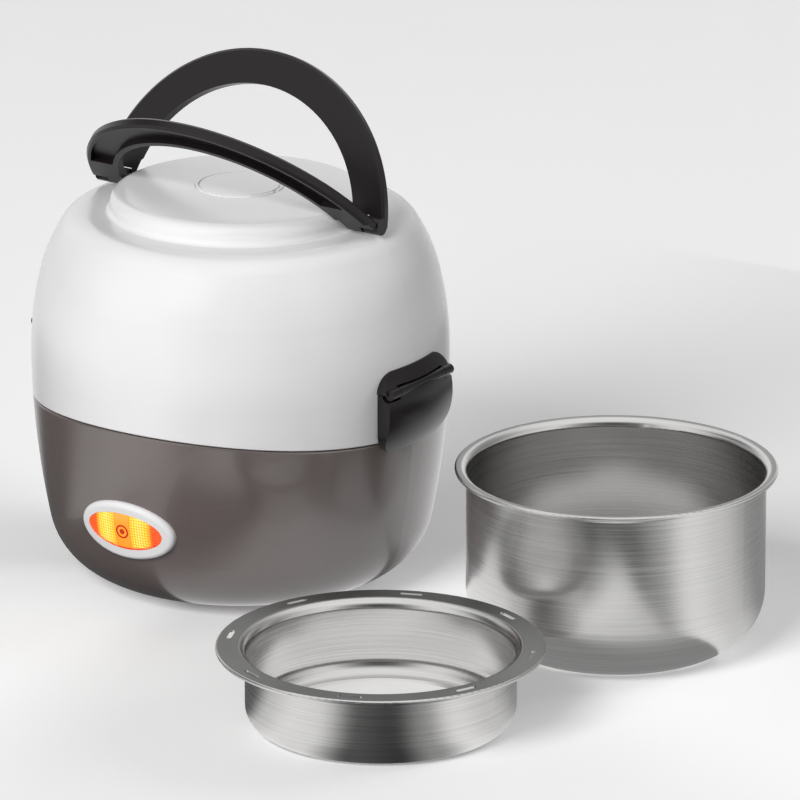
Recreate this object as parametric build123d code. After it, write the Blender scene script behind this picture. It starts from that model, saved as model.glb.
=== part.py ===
from build123d import *
import math
import os

# A mini rice cooker, in millimetres. Z is up and the floor is at z = 0. The cooker's own axis is the
# Z axis, its indicator faces -Y, its power inlet faces +Y, and its clips stand at -X and +X.
# The inner pot and the steam dish are taken out and stand on the floor beside the cooker.

# Outline of the body, as one revolved profile that the lid and the base share
belly_r = 90.0
belly_z = 100.0
foot_h = 2.0
bottom_in = 37.4
low_turn_in = 7.4
low_turn_down = 73.5
lid_flank_in = 4.0
lid_flank_up = 34.0
lid_turn_in = 11.3
shoulder_up = 61.8
shoulder_run = 9.3
shoulder_round = 12.0
crown_in = 34.5
crown_h = 8.5
crown_dome_h = 2.2
crown_foot_round = 2.5
crown_edge_round = 4.8
wall = 2.6

# Parting line: an arch seen from the front, high at the indicator and low at the clips
seam_below_belly = 14.4
seam_drop = 8.6
seam_gap = 0.4
seam_edge_round = 0.7

# How far a cutting bar runs past the body, and how close two lengths are that count as equal
cut_clear = 18.0
same_length = 0.01

# Inner pot and steam dish, pressed from sheet
pot_in = 26.8
pot_h = 78.0
pot_corner_r = 25.0
pot_flange_w = 4.8
pot_flare_r = 3.0
pot_bead_r = 1.0
pot_sheet = 0.8
dish_side_gap = 7.2
dish_h = 34.0
dish_corner_r = 9.0
dish_flare_r = 3.5
dish_bead_r = 0.9
dish_sheet = 0.8
dish_slots = 8
dish_slot_l = 10.0
dish_slot_w = 2.0
dish_slot_in = 5.0

# Where the pot and the dish stand
pot_bearing = 3.0
pot_gap = 27.7
dish_bearing = -101.0
dish_gap = 4.0

# Heater and the well that the pot goes into
plate_top_z = 28.0
plate_t = 4.0
plate_in = 11.2
plate_edge_round = 1.5
plate_lip_w = 8.0
plate_boss_h = 3.0
liner_side_gap = 1.8
liner_sheet = 0.8
liner_floor_hole_gap = 1.0
liner_flange_w = 5.0
liner_below_rim = 5.0
gasket_t = 1.0
heater_end_gap = 2.0
heater_w = 20.0
heater_t = 6.0
clamp_end = 5.0
clamp_w = 12.0
clamp_t = 1.2
clamp_screw_pitch = 56.0
clamp_post_r = 3.0
thermostat_r = 8.5
thermostat_h = 9.0
thermostat_gap = 5.5
fuse_r = 2.0
fuse_l = 14.0
fuse_gap = 10.0

# Deck of the base
deck_below_seam = 5.0
deck_t = 2.5
deck_ledge_t = 2.4
deck_ledge_w = 8.0
deck_edge_gap = 0.3
collar_t = 2.4
collar_gap = 0.6
locating_ring_in = 8.6
locating_ring_t = 2.4
locating_ring_h = 23.0

# Underside
bottom_rim_w = 4.6
bottom_cover_gap = 0.3
bottom_ledge_w = 8.0
bottom_ledge_t = 2.2
bottom_screws = 3
bottom_screw_in = 4.0
boss_r = 3.6
boss_h = 8.0
screw_r = 1.3
screw_head_r = 2.8
screw_head_h = 1.6
screw_fit = 0.05
vent_slots = 7
vent_slot_l = 30.0
vent_slot_w = 2.5
vent_slot_pitch = 6.0
foot_ring_gap = 0.6
foot_ring_w = 3.4
foot_edge = 0.4
foot_tongue_w = 1.4
foot_tongue_h = 1.2
foot_tongue_gap = 0.1
foot_ports = 8
foot_port_w = 10.0
foot_port_h = 0.9

# Indicator on the front
indicator_z = 41.0
bezel_w = 47.0
bezel_h = 26.0
bezel_proud = 2.8
bezel_round = 2.2
bezel_lap = 2.2
bezel_neck_depth = 9.5
panel_gap = 0.2
bezel_side_w = 4.75
bezel_top_w = 4.85
lens_proud = 3.2
lens_t = 5.0
lens_lip = 1.4
lens_gap = 0.1
lamp_pitch = 18.0
lamp_r = 2.6
lamp_l = 5.0
lamp_plate_t = 2.0

# Power inlet on the back
inlet_z = 41.0
inlet_w = 31.0
inlet_h = 23.0
inlet_corner = 4.0
inlet_proud = 1.2
inlet_lap = 1.3
socket_side_t = 2.0
socket_top_t = 1.9
socket_corner = 3.0
socket_depth = 14.0
socket_floor_t = 2.4
pin_w = 2.0
pin_h = 4.0
pin_sunk = 2.0
pin_pitch = 14.0
earth_offset = 4.0
pin_tail = 4.0

# Inside of the lid
rest_ledge_w = 8.0
ledge_t = 2.4
cover_ledge_in = 3.8
cover_edge_w = 3.7
cover_t = 1.2
cover_dome_r = 30.0
cover_cone_in = 4.2
cover_dome_h = 7.0
cover_vent_r = 5.0
seal_gap = 0.5
seal_over_rim = 3.8
seal_past_rim = 2.4
seal_h = 3.5
seal_lip_t = 1.2
lid_screws = 4
lid_screw_gap = 0.6
steam_tube_r = 7.6
steam_tube_t = 1.6
steam_tube_gap = 0.2

# Vent cap let into the crown
vent_r = 19.0
vent_proud = 0.5
vent_t = 2.2
vent_gap = 0.2
vent_ring_in = 2.0
vent_ring_w = 0.9
vent_ring_depth = 0.5
vent_notch_w = 3.6
vent_notch_l = 1.6
vent_plug_r = 4.6
vent_plug_h = 5.0
vent_plug_gap = 0.15

# Twin bail handles, each a ring segment that swings about a pin along X
bail_side_gap = 3.4
bail_w = 15.2
bail_centre_down = 9.1
bail_t = 5.0
bail_edge = 1.1
bail_channel_rim = 2.4
bail_channel_depth = 2.6
bail_channel_end = 20.0
bails_gap = 0.3
knuckle_r = 3.7
knuckle_gap = 0.3
knuckle_floor_gap = 0.5
heel_gap = 0.2
heel_l = 8.0
hinge_pin_r = 1.6
hinge_pin_fit = 0.05
hinge_pin_root = 11.0
hinge_boss_r = 3.8
knuckle_end_wall = 1.5
rear_lean = 19.8
front_lean = 44.8

# Side clips, each a flap on a bracket
clip_below_seam = 4.0
clip_h = 36.0
clip_w = 48.0
clip_corner = 9.0
clip_proud = 6.5
clip_clear = 0.4
clip_pivot_down = 8.5
clip_knuckle_r = 2.2
clip_shoulder_w = 7.3
clip_side_gap = 0.3
clip_pin_r = 1.1
clip_pin_fit = 0.05
clip_pin_end = 1.6
clip_swing_gap = 0.9
clip_lug_inset = 1.1

# Body: what follows from the sizes above
crown_r = belly_r - crown_in
bottom_flat_r = belly_r - bottom_in
lid_turn_up = shoulder_up - shoulder_run
shoulder_z = belly_z + shoulder_up
crown_edge_z = shoulder_z + crown_h
crown_top_z = crown_edge_z + crown_dome_h
seam_front_z = belly_z - seam_below_belly
seam_side_z = seam_front_z - seam_drop
inside_floor_z = foot_h + wall
inside_y = belly_r / 2.0
outside_y = belly_r + cut_clear

# Pot, dish, heater and well: what follows
pot_r = belly_r - pot_in
pot_rim_r = pot_r + pot_flange_w
pot_rim_z = plate_top_z + pot_h
dish_r = pot_r - dish_side_gap
dish_rim_r = pot_rim_r
dish_slot_r = dish_rim_r - dish_slot_in
plate_r = pot_r - plate_in
plate_boss_r = plate_r - plate_lip_w
plate_seat_z = plate_top_z - plate_t
heater_top_z = plate_seat_z - plate_boss_h
heater_low_z = heater_top_z - heater_t
heater_l = clamp_screw_pitch - 2.0 * (clamp_post_r + heater_end_gap)
clamp_l = clamp_screw_pitch + 2.0 * clamp_end
thermostat_y = -(heater_w / 2.0 + thermostat_gap + thermostat_r)
fuse_y = heater_w / 2.0 + fuse_gap + fuse_r
liner_r = pot_r + liner_side_gap
liner_out_r = liner_r + liner_sheet
liner_top_z = pot_rim_z - liner_below_rim

# Deck and underside: what follows
deck_z = seam_side_z - deck_below_seam
rest_z = deck_z + locating_ring_h
locating_ring_r = belly_r - locating_ring_in
collar_top_z = liner_top_z - liner_sheet - gasket_t
collar_in_r = liner_out_r + collar_gap
bottom_hole_r = bottom_flat_r - bottom_rim_w
bottom_screw_r = bottom_hole_r - bottom_screw_in
foot_middle_r = bottom_hole_r + foot_ring_gap + foot_ring_w / 2.0

# Indicator and inlet: what follows
bezel_neck_w = bezel_w - 2.0 * bezel_lap
bezel_neck_h = bezel_h - 2.0 * bezel_lap
lens_w = bezel_w - 2.0 * bezel_side_w
lens_h = bezel_h - 2.0 * bezel_top_w
inlet_neck_w = inlet_w - 2.0 * inlet_lap
inlet_neck_h = inlet_h - 2.0 * inlet_lap
socket_w = inlet_neck_w - 2.0 * socket_side_t
socket_h = inlet_neck_h - 2.0 * socket_top_t
pin_l = socket_depth - pin_sunk

# Inside of the lid: what follows
seal_in_r = pot_rim_r - seal_over_rim
seal_out_r = pot_rim_r + seal_past_rim
seal_low_z = pot_rim_z + dish_sheet + seal_gap
lid_screw_r = seal_out_r + screw_head_r + lid_screw_gap
cover_low_z = seal_low_z + seal_h
cover_r = lid_screw_r + cover_edge_w
cover_cone_r = seal_in_r - cover_cone_in
cover_ledge_r = lid_screw_r - cover_ledge_in
cover_ledge_z = cover_low_z + cover_t
vent_ring_r = vent_r - vent_ring_in

# Handles and clips: what follows
hinge_z = shoulder_z + knuckle_r + knuckle_floor_gap
bail_in_r = crown_r + bail_side_gap
bail_out_r = bail_in_r + bail_w
heel_t = knuckle_r + heel_gap
clip_low_z = seam_side_z - clip_below_seam
clip_high_z = clip_low_z + clip_h
clip_pivot_z = clip_high_z - clip_pivot_down
clip_knuckle_w = clip_w - 2.0 * clip_shoulder_w


def ring(inner_r, outer_r, low_z, high_z):
    """A flat ring about the Z axis."""
    return Pos(0, 0, low_z) * extrude(Circle(outer_r) - Circle(inner_r), amount=high_z - low_z)


def disc(radius, low_z, high_z):
    """A disc about the Z axis."""
    return Pos(0, 0, low_z) * extrude(Circle(radius), amount=high_z - low_z)


def rod(radius, start, end):
    """A round bar from one point to another."""
    run = Vector(*end) - Vector(*start)
    bar = Cylinder(radius, run.length, align=(Align.CENTER, Align.CENTER, Align.MIN))
    return Plane(origin=start, z_dir=run) * bar


def around(count, radius, first=0.0):
    """Places spaced evenly on a circle, each turned to face outwards."""
    places = []
    for index in range(count):
        places.append(Rot(0, 0, first + index * 360.0 / count) * Pos(radius, 0, 0))
    return places


def block(low, high):
    """A box between two opposite corners."""
    size = Vector(*high) - Vector(*low)
    return Pos(*low) * Box(size.X, size.Y, size.Z, align=(Align.MIN, Align.MIN, Align.MIN))


def rounded(face, corner, radius):
    """The face with its vertex nearest to a point rounded."""
    return fillet(face.vertices().sort_by_distance(corner)[0], radius)


def outward(arc, end, grow):
    """A point at one end of an arc of the outline, moved square to it and away from the body."""
    heading = arc % end
    side = Vector(heading.Y, -heading.X) if heading.Y > 0 else Vector(-heading.Y, heading.X)
    return arc @ end + side * grow


def half_outline(grow):
    """Right half of the body's outline, as radius and height, grown outwards or shrunk."""
    belly = Vector(belly_r, belly_z)
    low_flank = TangentArc(belly, belly - Vector(low_turn_in, low_turn_down), tangent=(0, -1))
    lid_flank = TangentArc(belly, belly + Vector(-lid_flank_in, lid_flank_up), tangent=(0, 1))
    lid_turn = TangentArc(lid_flank @ 1, belly + Vector(-lid_turn_in, lid_turn_up), tangent=lid_flank % 1)
    belly = Vector(belly_r + grow, belly_z)
    low_flank = TangentArc(belly, outward(low_flank, 1, grow), tangent=(0, -1))
    low_corner = TangentArc(low_flank @ 1, (bottom_flat_r, foot_h - grow), tangent=low_flank % 1)
    turn_end = outward(lid_turn, 1, grow)
    lid_flank = TangentArc(belly, outward(lid_flank, 1, grow), tangent=(0, 1))
    lid_turn = TangentArc(lid_flank @ 1, turn_end, tangent=lid_flank % 1)
    heading = lid_turn % 1
    shoulder = turn_end + heading * ((shoulder_z + grow - turn_end.Y) / heading.Y)
    crown_foot = Vector(crown_r + grow, shoulder_z + grow)
    crown_edge = Vector(crown_r + grow, crown_edge_z + grow)
    step = Polyline(turn_end, shoulder, crown_foot, crown_edge)
    dome = TangentArc((0, crown_top_z + grow), crown_edge, tangent=(1, 0))
    middle = Line((0, crown_top_z + grow), (0, foot_h - grow))
    floor = Line((0, foot_h - grow), (bottom_flat_r, foot_h - grow))
    face = make_face([floor, low_corner, low_flank, lid_flank, lid_turn, step, dome, middle])
    face = rounded(face, shoulder, shoulder_round + grow)
    if crown_foot_round > grow:
        face = rounded(face, crown_foot, crown_foot_round - grow)
    return rounded(face, crown_edge, crown_edge_round + grow)


def body_solid(grow):
    """The body as one full solid, grown outwards by a distance, or shrunk where it is negative."""
    return revolve(Plane.XZ * half_outline(grow), axis=Axis.Z)


def beside_seam(lift, far_z):
    """The space between the parting line, moved up by a distance, and a far height."""
    seam_r = (belly_r**2 + seam_drop**2) / (2.0 * seam_drop)
    top_z = seam_front_z + lift
    half_w = outside_y
    side_z = top_z - seam_r + math.sqrt(seam_r**2 - half_w**2)
    arch = ThreePointArc((-half_w, side_z), (0, top_z), (half_w, side_z))
    rest = Polyline((half_w, side_z), (half_w, far_z), (-half_w, far_z), (-half_w, side_z))
    return extrude(Plane.XZ * make_face([arch, rest]), amount=2.0 * belly_r, both=True)


body = body_solid(0.0)
hollow = body_solid(-wall)
mid_wall = body_solid(-wall / 2.0)


def seam_edges(shell):
    """The outer edges of a shell along the parting line."""
    seam_low_z = seam_side_z - seam_gap
    seam_high_z = seam_front_z + seam_gap
    chosen = []
    for edge in shell.edges():
        box = edge.bounding_box()
        middle = edge @ 0.5
        outside = math.hypot(middle.X, middle.Y) > belly_r - wall
        if outside and box.min.Z > seam_low_z and box.max.Z < seam_high_z:
            chosen.append(edge)
    return chosen


def oval_bar(width, height, inner_y, outer_y):
    """An oval bar through the front of the base, between two distances from the axis."""
    front = Plane(origin=(0, -inner_y, indicator_z), x_dir=(1, 0, 0), z_dir=(0, -1, 0))
    return front * extrude(Ellipse(width / 2.0, height / 2.0), amount=outer_y - inner_y)


def inlet_bar(width, height, corner, inner_y, outer_y):
    """A rounded square bar through the back of the base, between two distances from the axis."""
    back = Plane(origin=(0, inner_y, inlet_z), x_dir=(-1, 0, 0), z_dir=(0, 1, 0))
    return back * extrude(RectangleRounded(width, height, corner), amount=outer_y - inner_y)


def screw(low_z, length):
    """A screw pushed up from below, its head lowest."""
    head = Cylinder(screw_head_r, screw_head_h, align=(Align.CENTER, Align.CENTER, Align.MIN))
    shank = Cylinder(screw_r, length, align=(Align.CENTER, Align.CENTER, Align.MIN))
    return Pos(0, 0, low_z) * (head + shank)


def sheet_cup(radius, height, corner_r, flare_r, rim_r, bead_r, sheet):
    """A cup pressed from sheet, with a rounded corner, a flared rim and a rolled bead at its edge."""
    flare_low = height - sheet - flare_r
    lip = Vector(rim_r - bead_r, height - sheet)
    outside = [
        Line((0, 0), (radius - corner_r, 0)),
        RadiusArc((radius - corner_r, 0), (radius, corner_r), -corner_r),
        Line((radius, corner_r), (radius, flare_low)),
        RadiusArc((radius, flare_low), (radius + flare_r, height - sheet), flare_r),
        Line((radius + flare_r, height - sheet), lip),
    ]
    inside = [
        Line(lip, (lip.X, height)),
        Line((lip.X, height), (radius + flare_r, height)),
        RadiusArc((radius + flare_r, height), (radius - sheet, flare_low), -(flare_r + sheet)),
        Line((radius - sheet, flare_low), (radius - sheet, corner_r)),
        RadiusArc((radius - sheet, corner_r), (radius - corner_r, sheet), corner_r - sheet),
        Line((radius - corner_r, sheet), (0, sheet)),
        Line((0, sheet), (0, 0)),
    ]
    section = make_face(outside + inside)
    section += Pos(rim_r - bead_r, height - bead_r) * Circle(bead_r)
    return revolve(Plane.XZ * section, axis=Axis.Z)


def foot_band(width, low_z, high_z):
    """A flat ring along the middle of the foot ring."""
    return ring(foot_middle_r - width / 2.0, foot_middle_r + width / 2.0, low_z, high_z)


def make_base_shell():
    """The taupe outer base, with ledges for the deck and the bottom cover."""
    under_seam = beside_seam(-seam_gap / 2.0, -belly_z)
    shell = (body & under_seam) - (hollow & under_seam)
    shell = fillet(seam_edges(shell), seam_edge_round)
    deck_ledge_top = deck_z - deck_t
    ledge = ring(belly_r - wall - deck_ledge_w, belly_r, deck_ledge_top - deck_ledge_t, deck_ledge_top)
    floor_ledge = ring(
        bottom_hole_r - bottom_ledge_w, bottom_flat_r, inside_floor_z, inside_floor_z + bottom_ledge_t
    )
    shell += ledge & mid_wall
    shell += floor_ledge & mid_wall
    shell -= disc(bottom_hole_r, foot_h - wall, inside_floor_z)
    boss_top = inside_floor_z + bottom_ledge_t + boss_h
    for place in around(bottom_screws, bottom_screw_r, 90.0):
        shell += place * disc(boss_r, inside_floor_z, boss_top)
        shell -= place * disc(screw_r + screw_fit, inside_floor_z, boss_top)
    tongue_top_z = foot_h + foot_tongue_h + foot_tongue_gap
    shell -= foot_band(foot_tongue_w + 2.0 * foot_tongue_gap, foot_h, tongue_top_z)
    oval_w = bezel_neck_w + 2.0 * panel_gap
    oval_h = bezel_neck_h + 2.0 * panel_gap
    shell -= oval_bar(oval_w, oval_h, inside_y, outside_y)
    inlet_hole_w = inlet_neck_w + 2.0 * panel_gap
    inlet_hole_h = inlet_neck_h + 2.0 * panel_gap
    return shell - inlet_bar(inlet_hole_w, inlet_hole_h, inlet_corner, inside_y, outside_y)


def make_bottom_cover():
    """The round plate under the base, with cooling slots and screw recesses."""
    cover = disc(bottom_hole_r - bottom_cover_gap, foot_h, inside_floor_z)
    for index in range(vent_slots):
        across = (index - (vent_slots - 1) / 2.0) * vent_slot_pitch
        slot = extrude(SlotOverall(vent_slot_l, vent_slot_w), amount=wall)
        cover -= Pos(0, across, foot_h) * slot
    for place in around(bottom_screws, bottom_screw_r, 90.0):
        cover -= place * disc(screw_head_r + bottom_cover_gap, foot_h, foot_h + screw_head_h)
        cover -= place * disc(screw_r + screw_fit, foot_h, inside_floor_z)
    return cover


def make_bottom_screws():
    """Screws from the bottom cover up into the base's bosses."""
    length = wall + bottom_ledge_t + boss_h - screw_head_h
    return [place * screw(foot_h, length) for place in around(bottom_screws, bottom_screw_r, 90.0)]


def make_foot_ring():
    """The rubber ring under the base, held by a tongue, with ports on its top side that let air through."""
    foot = foot_band(foot_ring_w, 0.0, foot_h)
    foot = chamfer(foot.edges().group_by(Axis.Z)[0], foot_edge)
    half_w = foot_port_w / 2.0
    port = block((-foot_ring_w, -half_w, foot_h - foot_port_h), (foot_ring_w, half_w, foot_h))
    for place in around(foot_ports, foot_middle_r):
        foot -= place * port
    return foot + foot_band(foot_tongue_w, foot_h, foot_h + foot_tongue_h)


def make_deck_ring():
    """The top of the base: a deck, a collar that carries the liner and a ring that centres the lid."""
    deck = ring(collar_in_r, belly_r, deck_z - deck_t, deck_z) & body_solid(-wall - deck_edge_gap)
    deck += ring(collar_in_r, collar_in_r + collar_t, deck_z - deck_t, collar_top_z)
    return deck + ring(locating_ring_r - locating_ring_t, locating_ring_r, deck_z - deck_t, rest_z)


def make_inner_liner():
    """The metal well: a floor with a hole for the heater, a wall and a flange on the collar."""
    hole_r = plate_boss_r + liner_floor_hole_gap
    well = ring(hole_r, liner_out_r, plate_seat_z - liner_sheet, plate_seat_z)
    well += ring(liner_r, liner_out_r, plate_seat_z - liner_sheet, liner_top_z)
    return well + ring(liner_r, liner_out_r + liner_flange_w, liner_top_z - liner_sheet, liner_top_z)


def make_liner_gasket():
    """The soft ring between the liner's flange and the collar."""
    outer_r = min(liner_out_r + liner_flange_w, collar_in_r + collar_t)
    return ring(collar_in_r, outer_r, collar_top_z, collar_top_z + gasket_t)


def make_heating_plate():
    """The cast plate that the pot stands on, with a boss through the liner's floor."""
    plate = disc(plate_r, plate_seat_z, plate_top_z)
    plate = fillet(plate.edges().group_by(Axis.Z)[-1], plate_edge_round)
    plate += disc(plate_boss_r, heater_top_z, plate_seat_z)
    for side in (-1, 1):
        post = Pos(side * clamp_screw_pitch / 2.0, 0, 0) * disc(clamp_post_r, heater_low_z, heater_top_z)
        plate += post
    return plate


def make_ptc_heater():
    """The heater block under the plate's boss."""
    half_l = heater_l / 2.0
    half_w = heater_w / 2.0
    return block((-half_l, -half_w, heater_low_z), (half_l, half_w, heater_top_z))


def make_heater_clamp():
    """The spring plate that presses the heater to the plate, on the plate's two posts."""
    clamp = Pos(0, 0, heater_low_z - clamp_t) * extrude(SlotOverall(clamp_l, clamp_w), amount=clamp_t)
    for side in (-1, 1):
        hole = disc(screw_r, heater_low_z - clamp_t, heater_low_z)
        clamp -= Pos(side * clamp_screw_pitch / 2.0, 0, 0) * hole
    return clamp


def make_thermostat():
    """The round thermostat, flat against the plate's boss."""
    return Pos(0, thermostat_y, 0) * disc(thermostat_r, heater_top_z - thermostat_h, heater_top_z)


def make_thermal_fuse():
    """The fuse capsule, lying along X against the plate's boss."""
    axis_z = heater_top_z - fuse_r
    return rod(fuse_r, (-fuse_l / 2.0, fuse_y, axis_z), (fuse_l / 2.0, fuse_y, axis_z))


def make_indicator_bezel():
    """The raised oval frame on the front, whose neck goes through the base's wall."""
    flange = (oval_bar(bezel_w, bezel_h, inside_y, outside_y) & body_solid(bezel_proud)) - body
    rim = flange.edges().sort_by(lambda edge: edge.length)[-2:]
    outer = min(rim, key=lambda edge: (edge @ 0.25).Y + (edge @ 0.75).Y)
    flange = fillet(outer, bezel_round)
    rear_y = front_face_y() - bezel_neck_depth
    neck = oval_bar(bezel_neck_w, bezel_neck_h, rear_y, outside_y) & body
    frame = flange + neck
    frame -= oval_bar(lens_w + 2 * lens_gap, lens_h + 2 * lens_gap, lens_rear_y(), outside_y)
    return frame - oval_bar(lens_w - 2 * lens_lip, lens_h - 2 * lens_lip, rear_y, outside_y)


def front_face_y():
    """Distance of the base's front face from the axis, at the height of the indicator."""
    ray = Line((0, 0, indicator_z), (0, -2.0 * belly_r, indicator_z))
    return (ray.edge() & body).length


def lens_rear_y():
    """Distance of the lens's rear face from the axis."""
    return front_face_y() + lens_proud - lens_t


def make_indicator_lens():
    """The amber lens, domed like the body, on a lip inside the frame."""
    return oval_bar(lens_w, lens_h, lens_rear_y(), outside_y) & body_solid(lens_proud)


def make_lamp_holder():
    """The plate behind the frame that carries the two signal lamps."""
    rear_y = front_face_y() - bezel_neck_depth
    plate = oval_bar(bezel_neck_w, bezel_neck_h, rear_y - lamp_plate_t, rear_y)
    for lamp in make_signal_lamps():
        plate -= lamp
    return plate


def make_signal_lamps():
    """Two round-nosed lamps that shine through the lens."""
    rear_y = front_face_y() - bezel_neck_depth
    lamps = []
    for side in (-1, 1):
        across = side * lamp_pitch / 2.0
        tip_y = rear_y + lamp_l - lamp_r
        stem = rod(lamp_r, (across, lamp_plate_t - rear_y, indicator_z), (across, -tip_y, indicator_z))
        lamps.append(stem + Pos(across, -tip_y, indicator_z) * Sphere(lamp_r))
    return lamps


def back_face_y():
    """Distance of the base's back face from the axis, at the height of the inlet."""
    ray = Line((0, 0, inlet_z), (0, 2.0 * belly_r, inlet_z))
    return (ray.edge() & body).length


def make_inlet_pins():
    """Three flat contact pins, the middle one offset."""
    socket_floor_y = back_face_y() + inlet_proud - socket_depth
    pins = []
    for across, up in ((-pin_pitch / 2.0, 0.0), (pin_pitch / 2.0, 0.0), (0.0, earth_offset)):
        low = (across - pin_w / 2.0, socket_floor_y - socket_floor_t - pin_tail, inlet_z + up - pin_h)
        high = (across + pin_w / 2.0, socket_floor_y + pin_l, inlet_z + up)
        pins.append(block(low, high))
    return pins


def make_power_inlet():
    """The socket housing on the back, flanged against the base's wall."""
    face_y = back_face_y() + inlet_proud
    flange = inlet_bar(inlet_w, inlet_h, inlet_corner, inside_y, face_y) - body
    floor_y = face_y - socket_depth
    neck = inlet_bar(inlet_neck_w, inlet_neck_h, inlet_corner, floor_y - socket_floor_t, outside_y) & body
    housing = flange + neck
    housing -= inlet_bar(socket_w, socket_h, socket_corner, floor_y, outside_y)
    for pin in make_inlet_pins():
        housing -= pin
    return housing


def make_lid_shell():
    """The white lid with its crown, two inner ledges, screw bosses and the seats of the handle pins."""
    over_seam = beside_seam(seam_gap / 2.0, crown_top_z + belly_z)
    shell = (body & over_seam) - (hollow & over_seam)
    shell = fillet(seam_edges(shell), seam_edge_round)
    shell += ring(locating_ring_r - rest_ledge_w / 2.0, belly_r, rest_z, rest_z + ledge_t) & mid_wall
    shell += ring(cover_ledge_r, belly_r, cover_ledge_z, cover_ledge_z + ledge_t) & mid_wall
    boss_top = cover_ledge_z + boss_h
    for place in around(lid_screws, lid_screw_r, 45.0):
        shell += place * disc(boss_r, cover_ledge_z, boss_top)
        shell -= place * disc(screw_r + screw_fit, cover_ledge_z, boss_top)
    for side in (-1, 1):
        root = (side * (crown_r - hinge_pin_root), 0, hinge_z)
        boss = rod(hinge_boss_r, root, (side * crown_r, 0, hinge_z)) & mid_wall
        shell += boss
        shell -= rod(hinge_pin_r, root, (side * 2.0 * belly_r, 0, hinge_z))
    seat_z = crown_top_z - vent_t
    shell -= disc(vent_r + vent_gap, seat_z, crown_top_z + wall)
    return shell - disc(vent_plug_r + vent_plug_gap, shoulder_z, crown_top_z)


def make_vent_cap():
    """The steam cap, with a ring line, a notch in its edge and a slotted plug."""
    seat_z = crown_top_z - vent_t
    cap = disc(vent_r, seat_z, crown_top_z + wall) & body_solid(vent_proud)
    groove_low_z = crown_top_z + vent_proud - 2.0 * vent_ring_depth
    cap -= ring(vent_ring_r, vent_ring_r + vent_ring_w, groove_low_z, crown_top_z + wall)
    cap += disc(vent_plug_r, seat_z - vent_plug_h, seat_z)
    cap -= disc(vent_plug_r / 2.0, seat_z - vent_plug_h, seat_z)
    notch = Box(vent_notch_l, vent_notch_w, 4.0 * vent_t)
    return cap - Pos(vent_r - vent_notch_l / 2.0, 0, crown_top_z) * notch


def make_steam_tube():
    """The duct from the inner cover up to the vent."""
    low_z = cover_ledge_z + cover_dome_h
    tube = ring(steam_tube_r - steam_tube_t, steam_tube_r, low_z, crown_top_z)
    return tube & body_solid(-wall - steam_tube_gap)


def make_lid_inner_cover():
    """The pressed plate that closes the lid from below, cone-shaped round a flat middle."""
    low = cover_low_z
    high = cover_low_z + cover_dome_h
    under = [(cover_vent_r, high), (cover_dome_r, high), (cover_cone_r, low), (cover_r, low)]
    over = [(cover_r, low + cover_t), (cover_cone_r, low + cover_t)]
    over += [(cover_dome_r, high + cover_t), (cover_vent_r, high + cover_t)]
    section = make_face(Polyline(*under, *over, close=True))
    cover = revolve(Plane.XZ * section, axis=Axis.Z)
    for place in around(lid_screws, lid_screw_r, 45.0):
        cover -= place * disc(screw_r + screw_fit, cover_low_z, cover_ledge_z)
    return cover


def make_lid_seal():
    """The silicone ring under the inner cover, with a lip that leans outwards."""
    lip_r = seal_out_r - seal_lip_t
    corners = [(seal_in_r, cover_low_z), (seal_in_r, seal_low_z + seal_lip_t), (lip_r, seal_low_z)]
    corners += [(seal_out_r, seal_low_z), (seal_out_r, cover_low_z)]
    return revolve(Plane.XZ * make_face(Polyline(*corners, close=True)), axis=Axis.Z)


def make_lid_screws():
    """Screws from the inner cover up into the lid's bosses."""
    length = screw_head_h + cover_t + boss_h - ledge_t
    low_z = cover_low_z - screw_head_h
    return [place * screw(low_z, length) for place in around(lid_screws, lid_screw_r, 45.0)]


def left(solid):
    """The same piece on the other side of the cooker."""
    return mirror(solid, about=Plane.YZ)


def longest_edge(solid):
    """Length of a solid's longest edge."""
    return max(edge.length for edge in solid.edges())


def knuckle_span(inner):
    """Where a knuckle starts and ends along X, for the inner or the outer place on the pin."""
    reach = math.sqrt(bail_out_r**2 - bail_centre_down**2)
    start = math.sqrt(bail_in_r**2 - bail_centre_down**2)
    middle = (start + reach) / 2.0
    if inner:
        return start, middle - knuckle_gap / 2.0
    return middle + knuckle_gap / 2.0, reach


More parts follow.
